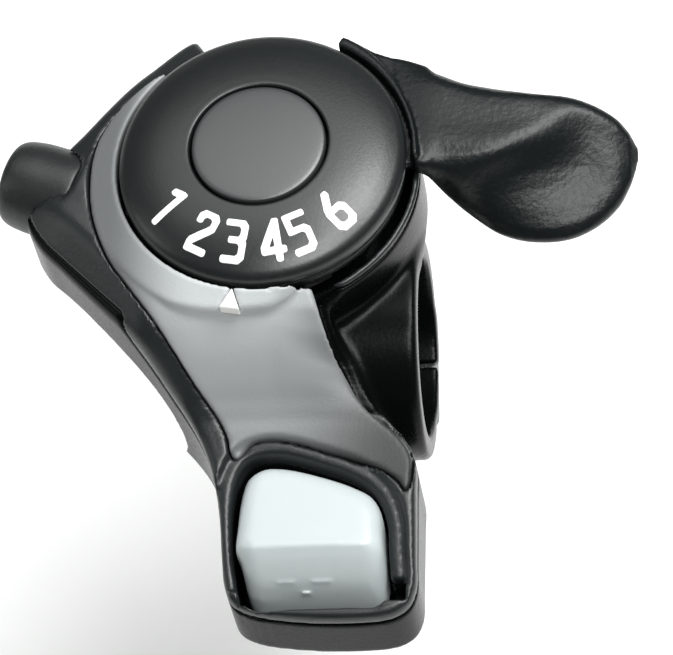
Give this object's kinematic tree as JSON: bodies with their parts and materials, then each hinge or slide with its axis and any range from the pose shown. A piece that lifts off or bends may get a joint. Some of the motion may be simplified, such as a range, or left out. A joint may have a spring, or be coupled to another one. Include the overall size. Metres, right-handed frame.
{
  "type": "thumb shifter",
  "caption": "Handlebar thumb shifter with a numbered dial, a swinging thumb lever, a white release push button in a framed tail and a cable adjusting barrel.",
  "frame": {"origin": "handlebar axis at the middle of the clamp ring's width", "axes": "+X along the handlebar towards the grip, +Z along the lever and dial axis away from the bar, +Y forward"},
  "size_m": [0.079, 0.0722, 0.0522],
  "materials": {
    "housing_plastic": "satin moulded, fine grain",
    "cover_plastic": "satin metallic gray",
    "dial_plastic": "satin",
    "lever_plastic": "fine texture",
    "button_plastic": "translucent white, soft gloss",
    "white_mark": "satin",
    "nylon": "natural nylon",
    "steel": "plated",
    "black_steel": "black oxide",
    "barrel_plastic": "satin"
  },
  "bodies": {
    "frame": {"bracket": "housing_plastic", "upper_housing": "housing_plastic", "indicator_cover": "cover_plastic", "index_pointer": "white_mark", "clamp_bolt": "steel", "clamp_nut": "steel", "housing_screws": "black_steel", "pivot_axle": "steel", "thrust_washer": "nylon", "lever_screw": "steel", "pawl_pin": "steel", "button_pin": "steel", "button_spring": "steel", "pawl_spring": "steel"},
    "lever": {"lever_arm": "lever_plastic", "lever_insert": "steel", "cable_drum": "nylon", "ratchet_wheel": "steel", "drum_bush": "nylon", "indicator_dial": "dial_plastic", "centre_cap": "dial_plastic"},
    "button": {"release_button": "button_plastic"},
    "link": {"release_link": "steel"},
    "pawl": {"holding_pawl": "steel"},
    "seat": {"casing_seat": "steel"},
    "adjuster": {"adjuster_barrel": "barrel_plastic"}
  },
  "joints": [
    {"name": "lever_turn", "type": "hinge", "parent": "frame", "child": "lever", "pos_m": [-0.0111, 0.0129, 0.022], "axis": [0, 0, 1], "range_deg": [-63, 46.5]},
    {"name": "button_press", "type": "hinge", "parent": "frame", "child": "button", "pos_m": [-0.006, -0.0176, -0.001], "axis": [1, 0, 0], "range_deg": [0, 5.7], "stiffness_Nm_per_rad": 0.05, "deforming": ["button_spring"]},
    {"name": "link_pull", "type": "slide", "parent": "frame", "child": "link", "axis": [0, -1, 0], "range_m": [0, 0.000826]},
    {"name": "pawl_lift", "type": "hinge", "parent": "frame", "child": "pawl", "pos_m": [-0.0162, -0.003, 0.015], "axis": [0, 0, -1], "range_deg": [0, 10.09], "deforming": ["pawl_spring"]},
    {"name": "adjuster_slide", "type": "slide", "parent": "frame", "child": "seat", "axis": [-0.9371, 0.349, 0], "range_m": [0, 0.003]},
    {"name": "adjuster_turn", "type": "hinge", "parent": "seat", "child": "adjuster", "pos_m": [-0.0378, 0.0138, 0.0175], "axis": [-0.9371, 0.349, 0], "range_deg": [0, 1080]}
  ],
  "couplings": [
    {"joint": "link_pull", "follows": "button_press", "m_per_rad": 0.0083},
    {"joint": "pawl_lift", "follows": "button_press", "ratio": 1.77},
    {"joint": "adjuster_turn", "follows": "adjuster_slide", "rad_per_m": 6283.2}
  ]
}
